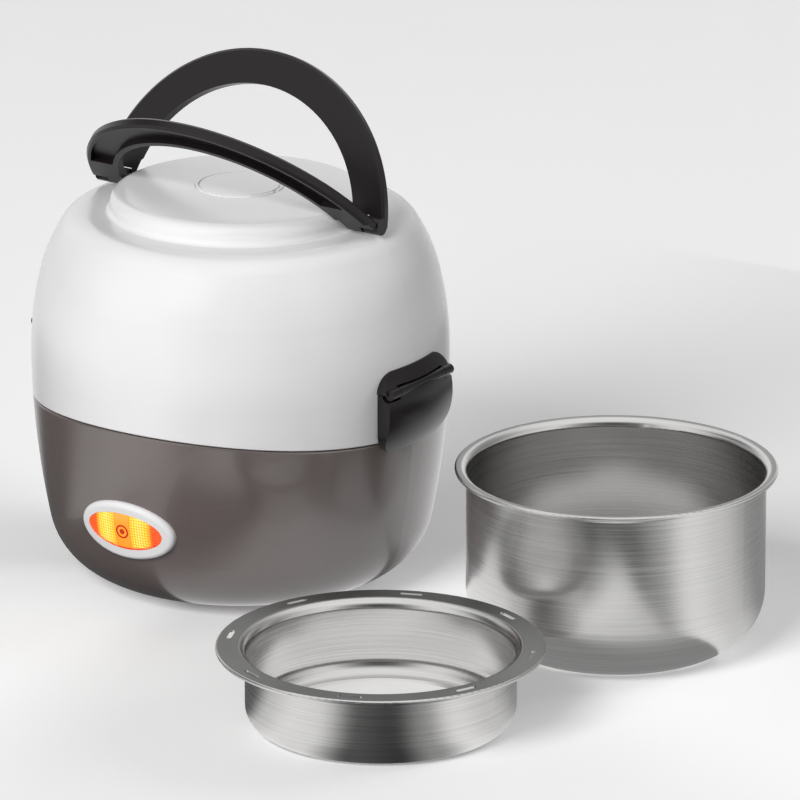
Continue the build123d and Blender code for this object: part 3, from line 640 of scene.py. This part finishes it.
# Amber acrylic lens with a painted glow for the lamps behind it: painted yellow over the lamps, painted red
# where the light fades at the ends.
# Its prisms are 1.25 mm wide, a little coarser than the real ones, so that they show.
LENS_AMBER = LitLens(
    "moulded_amber_acrylic",
    "#FF9F2A",
    0.16,
    # Painted glow colours for the lamps behind the lens.
    painted_lamp_glow_colour="#FFF36A",
    painted_lamp_side_glow_colour="#FFDF3A",
    painted_dim_glow_colour="#F4591C",
    # Painted edge glow of the lower rim.
    painted_rim_glow_colour="#F0300C",
    centre_z_mm=LENS_CENTRE_Z_MM,
    half_width_mm=LENS_WIDTH_MM / 2,
    half_height_mm=LENS_HEIGHT_MM / 2,
    band_half_mm=LENS_BAND_HALF_MM,
    lamp_from_mm=4.6,
    lamp_to_mm=12.2,
    prism_mm=LENS_PRISM_MM,
    # Emission strength of the painted glow.
    glow=0.35,
)


def paint(node: str, finish: Finish) -> None:
    """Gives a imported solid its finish.

    Args:
        node: The solid's name.
        finish: The finish that it gets.
    """
    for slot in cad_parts[node].material_slots:
        slot.material = finish.material()
    log.info("%s: %s", node, finish.name)


def mesh_piece(name: str, shape: bmesh.types.BMesh, body: str, finish: Finish) -> bpy.types.Object:
    """Makes a piece from a finished mesh, dresses it and lets it ride on a body.

    Args:
        name: The piece's name.
        shape: Its mesh, in metres, which is freed here.
        body: The body that it moves with.
        finish: The finish that it gets.

    Returns:
        The piece.
    """
    mesh = bpy.data.meshes.new(name)
    shape.to_mesh(mesh)
    shape.free()
    piece = bpy.data.objects.new(name, mesh)
    bpy.context.scene.collection.objects.link(piece)
    mesh.materials.append(finish.material())
    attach(piece, body)
    log.info("%s: %s, %d faces", name, finish.name, len(mesh.polygons))
    return piece


@dataclass
class Assembly:
    """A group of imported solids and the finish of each."""

    finishes: tuple[tuple[str, Finish], ...] = ()

    def dress(self) -> None:
        """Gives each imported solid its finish."""
        for node, finish in self.finishes:
            paint(node, finish)


@dataclass
class Lid(Assembly):
    """White outer lid with its steam cap, inner cover and seal."""

    finishes: tuple[tuple[str, Finish], ...] = (
        ("lid_shell", GLOSS_WHITE),
        ("vent_cap", GLOSS_WHITE),
        ("steam_tube", MILKY_SILICONE),
        ("lid_inner_cover", PRESSED_STEEL),
        ("lid_seal", MILKY_SILICONE),
        ("lid_screws", PLATED_STEEL),
    )


@dataclass
class Handles(Assembly):
    """Two bail handles on shared pins."""

    finishes: tuple[tuple[str, Finish], ...] = (
        ("front_handle", DARK_GRAIN),
        ("rear_handle", DARK_GRAIN),
        ("handle_pins", PLATED_STEEL),
    )


@dataclass
class Clips(Assembly):
    """A clip on each side that holds the lid to the base."""

    finishes: tuple[tuple[str, Finish], ...] = (
        ("left_clip_bracket", DARK_GRAIN),
        ("right_clip_bracket", DARK_GRAIN),
        ("left_clip", DARK_GRAIN),
        ("right_clip", DARK_GRAIN),
        ("clip_pins", PLATED_STEEL),
    )


@dataclass
class Base(Assembly):
    """Taupe outer base with its deck, heater and underside."""

    finishes: tuple[tuple[str, Finish], ...] = (
        ("base_shell", SATIN_TAUPE),
        ("bottom_cover", BLACK_GRAIN),
        ("bottom_screws", PLATED_STEEL),
        ("foot_ring", FOOT_RUBBER),
        ("deck_ring", BLACK_GRAIN),
        ("inner_liner", DRAWN_ALUMINIUM),
        ("liner_gasket", MILKY_SILICONE),
        ("heating_plate", CAST_ALUMINIUM),
        ("ptc_heater", GLAZED_CERAMIC),
        ("heater_clamp", PLATED_STEEL),
        ("thermostat", BLACK_GRAIN),
        ("thermal_fuse", GLAZED_CERAMIC),
        ("power_inlet", BLACK_GRAIN),
        ("inlet_pins", DRAWN_BRASS),
    )


@dataclass
class Vessels(Assembly):
    """The inner pot and the steam dish, standing beside the cooker."""

    finishes: tuple[tuple[str, Finish], ...] = (
        ("inner_pot", BRUSHED_POT),
        ("steam_dish", BRUSHED_DISH),
    )


@dataclass
class Indicator(Assembly):
    """Oval frame on the front with a lens of small prisms over two lamps."""

    width_mm: float = LENS_WIDTH_MM
    height_mm: float = LENS_HEIGHT_MM
    centre_z_mm: float = LENS_CENTRE_Z_MM
    belly_z_mm: float = 100.0
    flank_r_mm: float = 368.7
    flank_back_mm: float = 278.7
    proud_mm: float = 3.2
    prism_mm: float = LENS_PRISM_MM
    prism_depth_mm: float = 0.3
    band_half_mm: float = LENS_BAND_HALF_MM
    thickness_mm: float = 2.2
    dome_mm: float = 0.5
    outline_sides: int = 96
    mark_radii_mm: tuple[tuple[float, float], ...] = ((0.0, 1.25), (2.35, 3.15))
    mark_proud_mm: float = 0.15
    mark_sides: int = 40
    finishes: tuple[tuple[str, Finish], ...] = (
        ("indicator_bezel", GLOSS_WHITE),
        ("lamp_holder", BLACK_GRAIN),
        ("signal_lamps", LAMP_GLASS),
    )

    def depth(self, x_mm: float, z_mm: float, sunk_mm: float) -> float:
        """Where the lens's face stands in front of the axis.

        Args:
            x_mm: Distance to the side.
            z_mm: Height.
            sunk_mm: How far the point lies below the face.

        Returns:
            Its Y, in millimetres.
        """
        bow = math.sqrt((self.flank_r_mm + self.proud_mm - sunk_mm) ** 2 - (z_mm - self.belly_z_mm) ** 2)
        radius = bow - self.flank_back_mm
        return -math.sqrt(radius**2 - x_mm**2)

    def build(self) -> bpy.types.Object:
        """Builds the lens from a grid of prisms that is cut to an oval and wrapped on the front.

        Returns:
            The lens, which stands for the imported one.
        """
        shape = bmesh.new()
        columns = math.ceil(self.width_mm / self.prism_mm / 2) * 2
        rows = math.ceil(self.height_mm / self.prism_mm / 2) * 2
        low_x = -columns * self.prism_mm / 2
        low_z = -rows * self.prism_mm / 2
        corners = [
            [
                shape.verts.new((low_x + column * self.prism_mm, 0.0, low_z + row * self.prism_mm))
                for row in range(rows + 1)
            ]
            for column in range(columns + 1)
        ]
        for column in range(columns):
            for row in range(rows):
                middle_x = low_x + (column + 0.5) * self.prism_mm
                middle_z = low_z + (row + 0.5) * self.prism_mm
                sunk = 0.0 if abs(middle_x) < self.band_half_mm else self.prism_depth_mm
                tip = shape.verts.new((middle_x, sunk, middle_z))
                ring = (
                    corners[column][row],
                    corners[column + 1][row],
                    corners[column + 1][row + 1],
                    corners[column][row + 1],
                )
                for side in range(4):
                    shape.faces.new((ring[side], ring[(side + 1) % 4], tip))
        self.cut_to_oval(shape)
        self.wrap(shape)
        shape.normal_update()
        lens = mesh_piece("amber_lens", shape, "base", LENS_AMBER)
        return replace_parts(lens, "indicator_lens")

    def build_mark(self) -> bpy.types.Object:
        """Builds the raised dot and ring in the middle of the lens.

        Returns:
            The mark.
        """
        shape = bmesh.new()
        for inner, outer in self.mark_radii_mm:
            steps = ((inner, 0.0), (inner, self.mark_proud_mm), (outer, self.mark_proud_mm), (outer, 0.0))
            rings = [self.mark_circle(shape, radius, proud) for radius, proud in steps if radius > 0]
            for low, high in zip(rings, rings[1:]):
                for side in range(self.mark_sides):
                    after = (side + 1) % self.mark_sides
                    shape.faces.new((low[side], low[after], high[after], high[side]))
            if inner == 0:
                shape.faces.new(rings[0])
        bmesh.ops.recalc_face_normals(shape, faces=list(shape.faces))
        return mesh_piece("lens_mark", shape, "base", MARK_RED)

    def mark_circle(
        self, shape: bmesh.types.BMesh, radius_mm: float, proud_mm: float
    ) -> list[bmesh.types.BMVert]:
        """Adds a circle of points that lies on the lens, or proud of it.

        Args:
            shape: The mark's mesh.
            radius_mm: The circle's radius.
            proud_mm: How far it stands off the lens.

        Returns:
            The points in order.
        """
        points = []
        for side in range(self.mark_sides):
            angle = 2 * math.pi * side / self.mark_sides
            x = math.cos(angle) * radius_mm
            up = self.centre_z_mm + math.sin(angle) * radius_mm
            points.append(shape.verts.new(Vector((x, self.depth(x, up, -proud_mm), up)) * MM))
        return points

    def cut_to_oval(self, shape: bmesh.types.BMesh) -> None:
        """Cuts the flat grid to the oval and gives it a side wall.

        Args:
            shape: The grid, flat in X and Z.
        """
        for step in range(self.outline_sides):
            angle = 2 * math.pi * step / self.outline_sides
            edge = Vector((math.cos(angle) * self.width_mm / 2, 0, math.sin(angle) * self.height_mm / 2))
            out = Vector((math.cos(angle) / self.width_mm, 0, math.sin(angle) / self.height_mm)).normalized()
            parts = list(shape.verts) + list(shape.edges) + list(shape.faces)
            bmesh.ops.bisect_plane(shape, geom=parts, plane_co=edge, plane_no=out, clear_outer=True)
        rim = [edge for edge in shape.edges if edge.is_boundary]
        wall = bmesh.ops.extrude_edge_only(shape, edges=rim)["geom"]
        for vertex in (part for part in wall if isinstance(part, bmesh.types.BMVert)):
            vertex.co.y += self.thickness_mm
        bmesh.ops.recalc_face_normals(shape, faces=list(shape.faces))

    def wrap(self, shape: bmesh.types.BMesh) -> None:
        """Bends the flat lens round the front of the base and turns it to metres.

        Args:
            shape: The flat lens, in millimetres.
        """
        for vertex in shape.verts:
            x, sunk, z = vertex.co
            rim = math.hypot(x / (self.width_mm / 2), z / (self.height_mm / 2))
            sunk += self.dome_mm * min(rim, 1.0) ** 4
            up = self.centre_z_mm + z
            vertex.co = Vector((x, self.depth(x, up, sunk), up)) * MM


@dataclass
class Studio:
    """Pale floor, a soft studio room and a camera at the photograph's angle."""

    bearing_deg: float = 35.0
    distance_m: float = 3.5
    height_m: float = 1.2333
    lens_mm: float = 385.0
    sensor_mm: float = 36.0
    clip_m: tuple[float, float] = (0.1, 50.0)
    aim_height_m: float = 0.085
    aim_right_m: float = 0.0685
    aim_up_m: float = -0.0100
    floor_half_m: float = 6.0
    floor_colour: str = "#F4F4F4"
    floor_dim_colour: str = "#8C8C8C"
    floor_lift: float = 0.16
    fill: float = 0.2
    # Where each lamp hangs, its width and height in metres and its power in watts.
    lamps: tuple[tuple[str, tuple[float, float, float], tuple[float, float], float], ...] = (
        ("key_lamp", (0.2, -2.9, 2.0), (1.6, 1.6), 110.0),
        ("rim_lamp", (1.8, 2.0, 1.4), (1.2, 1.4), 22.0),
    )
    lamp_aim_m: tuple[float, float, float] = (0.05, -0.02, 0.08)
    # Cards that lie round each vessel and the cooker and show only in gloss: centre along x and y,
    # inner and outer radius, and height above the floor, all in metres.
    cards: tuple[tuple[str, float, float, float, float, float], ...] = (
        ("cooker_card", 0.0, 0.0, 0.05, 0.5, 0.0004),
        ("pot_card", POT_AT[0], POT_AT[1], 0.04, 0.3, 0.0008),
        ("dish_card", DISH_AT[0], DISH_AT[1], 0.04, 0.16, 0.0012),
    )
    card_sides: int = 96
    # What gloss shows of the room, by degrees to the right of the camera: soft boxes at both sides,
    # a dark gap between them behind the camera, and the white backdrop.
    room: tuple[tuple[float, float], ...] = (
        (-180.0, 1.0),
        (-150.0, 0.9),
        (-122.0, 0.12),
        (-100.0, 0.1),
        (-80.0, 0.75),
        (-60.0, 1.0),
        (-42.0, 0.95),
        (-16.0, 0.1),
        (8.0, 0.05),
        (26.0, 0.35),
        (46.0, 1.0),
        (72.0, 0.75),
        (110.0, 0.3),
        (135.0, 0.3),
        (160.0, 0.95),
        (180.0, 1.0),
    )
    overhead_from: float = 0.55
    overhead_to: float = 0.85

    def camera(self) -> bpy.types.Object:
        """Sets the camera up where the photograph was taken from.

        Returns:
            The camera.
        """
        bearing = math.radians(self.bearing_deg)
        place = Vector(
            (math.sin(bearing) * self.distance_m, -math.cos(bearing) * self.distance_m, self.height_m)
        )
        right = Vector((math.cos(bearing), math.sin(bearing), 0))
        aim = Vector((0, 0, self.aim_height_m)) + right * self.aim_right_m + Vector((0, 0, self.aim_up_m))
        data = bpy.data.cameras.new("camera")
        data.lens = self.lens_mm
        data.sensor_width = self.sensor_mm
        data.clip_start, data.clip_end = self.clip_m
        camera = bpy.data.objects.new("camera", data)
        camera.location = place
        camera.rotation_euler = (aim - place).to_track_quat("-Z", "Y").to_euler()
        bpy.context.scene.collection.objects.link(camera)
        bpy.context.scene.camera = camera
        return camera

    def lamp(self, name: str, place: Sequence[float], size: Sequence[float], watts: float) -> bpy.types.Object:
        """Hangs one soft rectangular lamp, which faces the middle of the scene and doesn't show in gloss.

        Args:
            name: The lamp's name.
            place: Where it hangs, in metres.
            size: Its width and height, in metres.
            watts: Its power.

        Returns:
            The lamp.
        """
        data = bpy.data.lights.new(name, "AREA")
        data.shape = "RECTANGLE"
        data.size, data.size_y = size
        data.energy = watts
        lamp = bpy.data.objects.new(name, data)
        lamp.location = place
        lamp.rotation_euler = (Vector(self.lamp_aim_m) - Vector(place)).to_track_quat("-Z", "Y").to_euler()
        lamp.visible_glossy = False
        bpy.context.scene.collection.objects.link(lamp)
        return lamp

    def world(self) -> None:
        """Lights the room evenly, shows it white to the camera, and as a studio room in gloss."""
        world = bpy.data.worlds.new("studio_room")
        bpy.context.scene.world = world
        world.use_nodes = True
        tree = world.node_tree
        tree.nodes.clear()
        path = add_node(tree, "ShaderNodeLightPath")
        shown = add_node(
            tree,
            "ShaderNodeMath",
            {0: path.outputs["Is Camera Ray"], 1: path.outputs["Is Transmission Ray"]},
            operation="MAXIMUM",
        )
        lit = add_node(
            tree,
            "ShaderNodeMapRange",
            {"Value": shown.outputs[0]},
            {"From Min": 0.0, "From Max": 1.0, "To Min": self.fill, "To Max": 1.0},
        )
        level = add_node(
            tree,
            "ShaderNodeMix",
            {
                0: path.outputs["Is Glossy Ray"],
                2: lit.outputs["Result"],
                3: self.gloss_room(tree, add_node(tree, "ShaderNodeTexCoord").outputs["Generated"]),
            },
        )
        back = add_node(
            tree, "ShaderNodeBackground", {"Strength": level.outputs[0]}, {"Color": WHITE_LIGHT}
        )
        add_node(tree, "ShaderNodeOutputWorld", {"Surface": back.outputs["Background"]})

    def gloss_room(self, tree: bpy.types.NodeTree, towards: bpy.types.NodeSocket) -> bpy.types.NodeSocket:
        """Brightness of the room as gloss shows it, by direction.

        Args:
            tree: The node tree of the world or of a card.
            towards: The direction looked in, seen from the object.

        Returns:
            The brightness, up to 1.
        """
        way = add_node(tree, "ShaderNodeSeparateXYZ", {"Vector": towards})
        turned = add_node(
            tree,
            "ShaderNodeVectorRotate",
            {"Vector": towards},
            {"Axis": (0.0, 0.0, 1.0), "Angle": -math.radians(self.bearing_deg)},
            rotation_type="AXIS_ANGLE",
        )
        flat = add_node(tree, "ShaderNodeSeparateXYZ", {"Vector": turned.outputs["Vector"]})
        behind = add_node(tree, "ShaderNodeMath", {0: flat.outputs["Y"]}, {1: -1.0}, operation="MULTIPLY")
        bearing = add_node(
            tree, "ShaderNodeMath", {0: flat.outputs["X"], 1: behind.outputs[0]}, operation="ARCTAN2"
        )
        share = add_node(
            tree,
            "ShaderNodeMapRange",
            {"Value": bearing.outputs[0]},
            {"From Min": -math.pi, "From Max": math.pi},
        )
        ramp = add_node(tree, "ShaderNodeValToRGB", {"Fac": share.outputs["Result"]})
        ramp.color_ramp.interpolation = "EASE"
        fill_ramp(
            ramp,
            [((degrees + 180.0) / 360.0, (bright, bright, bright, 1.0)) for degrees, bright in self.room],
        )
        overhead = add_node(
            tree,
            "ShaderNodeMapRange",
            {"Value": way.outputs["Z"]},
            {"From Min": self.overhead_from, "From Max": self.overhead_to},
            interpolation_type="SMOOTHSTEP",
        )
        mixed = add_node(
            tree, "ShaderNodeMix", {0: overhead.outputs["Result"], 2: ramp.outputs["Color"]}, {3: 1.0}
        )
        return mixed.outputs[0]

    def floor(self) -> bpy.types.Object:
        """Lays the pale floor, which keeps the shadows.

        Returns:
            The floor.
        """
        shape = bmesh.new()
        bmesh.ops.create_grid(shape, x_segments=8, y_segments=8, size=self.floor_half_m)
        mesh = bpy.data.meshes.new("floor")
        shape.to_mesh(mesh)
        shape.free()
        floor = bpy.data.objects.new("floor", mesh)
        bpy.context.scene.collection.objects.link(floor)
        mesh.materials.append(self.floor_material())
        return floor

    def floor_material(self) -> bpy.types.Material:
        """Painted board with a faint gloss, a little lifted where it is seen, with its shadows kept.

        It gives the object less light back than its own colour would.

        Returns:
            The floor's material.
        """
        material = MouldedPlastic(
            "painted_floor_board", self.floor_colour, 0.32, grain_mm=4.0, grain_depth_mm=0.001, drift=0.004
        ).material()
        tree = material.node_tree
        end = next(node for node in tree.nodes if node.type == "OUTPUT_MATERIAL")
        board = end.inputs["Surface"].links[0].from_socket
        path = add_node(tree, "ShaderNodeLightPath")
        shown = board.node.inputs["Base Color"]
        dimmed = add_node(
            tree,
            "ShaderNodeMix",
            {0: path.outputs["Is Diffuse Ray"], 6: shown.links[0].from_socket},
            {7: linear(self.floor_dim_colour)},
            data_type="RGBA",
        )
        tree.links.new(dimmed.outputs[2], shown)
        seen = add_node(
            tree,
            "ShaderNodeMath",
            {0: path.outputs["Is Camera Ray"], 1: path.outputs["Is Glossy Ray"]},
            operation="MAXIMUM",
        )
        strength = add_node(
            tree, "ShaderNodeMath", {0: seen.outputs[0]}, {1: self.floor_lift}, operation="MULTIPLY"
        )
        lift = add_node(
            tree, "ShaderNodeEmission", {"Strength": strength.outputs[0]}, {"Color": WHITE_LIGHT}
        )
        both = add_node(tree, "ShaderNodeAddShader", {0: board, 1: lift.outputs["Emission"]})
        tree.links.new(both.outputs["Shader"], end.inputs["Surface"])
        return material

    def card(self, name: str, x: float, y: float, inner: float, outer: float, up: float) -> None:
        """Lays a flat ring round one thing, which shows the room's light and dark sides in its gloss only.

        Args:
            name: The card's name.
            x: Centre along x in metres.
            y: Centre along y in metres.
            inner: Inner radius in metres.
            outer: Outer radius in metres.
            up: Height above the floor in metres.
        """
        shape = bmesh.new()
        rings = []
        for radius in (inner, outer):
            ring = []
            for side in range(self.card_sides):
                angle = 2 * math.pi * side / self.card_sides
                ring.append(shape.verts.new((radius * math.cos(angle), radius * math.sin(angle), 0.0)))
            rings.append(ring)
        for side in range(self.card_sides):
            after = (side + 1) % self.card_sides
            shape.faces.new((rings[0][side], rings[1][side], rings[1][after], rings[0][after]))
        mesh = bpy.data.meshes.new(name)
        shape.to_mesh(mesh)
        shape.free()
        material = bpy.data.materials.new(name)
        material.use_nodes = True
        material.node_tree.nodes.clear()
        tree = material.node_tree
        level = self.gloss_room(tree, add_node(tree, "ShaderNodeTexCoord").outputs["Object"])
        glow = add_node(tree, "ShaderNodeEmission", {"Strength": level}, {"Color": WHITE_LIGHT})
        add_node(tree, "ShaderNodeOutputMaterial", {"Surface": glow.outputs["Emission"]})
        mesh.materials.append(material)
        card = bpy.data.objects.new(name, mesh)
        card.location = (x, y, up)
        card.visible_camera = False
        card.visible_diffuse = False
        card.visible_shadow = False
        card.visible_transmission = False
        bpy.context.scene.collection.objects.link(card)

    def build(self) -> None:
        """Builds the camera, floor, room, cards and lamps."""
        self.camera()
        self.floor()
        self.world()
        for name, x, y, inner, outer, up in self.cards:
            self.card(name, x, y, inner, outer, up)
        for name, place, size, watts in self.lamps:
            self.lamp(name, place, size, watts)


def main() -> None:
    """Builds the studio and dresses every piece."""
    logging.basicConfig(level=logging.INFO, format="%(name)s: %(message)s")
    bpy.context.scene.view_settings.view_transform = "Standard"
    Studio().build()
    indicator = Indicator()
    parts: Iterable[Assembly] = (Base(), Lid(), Handles(), Clips(), indicator, Vessels())
    for part in parts:
        part.dress()
    indicator.build()
    indicator.build_mark()


if __name__ == "__main__":
    main()
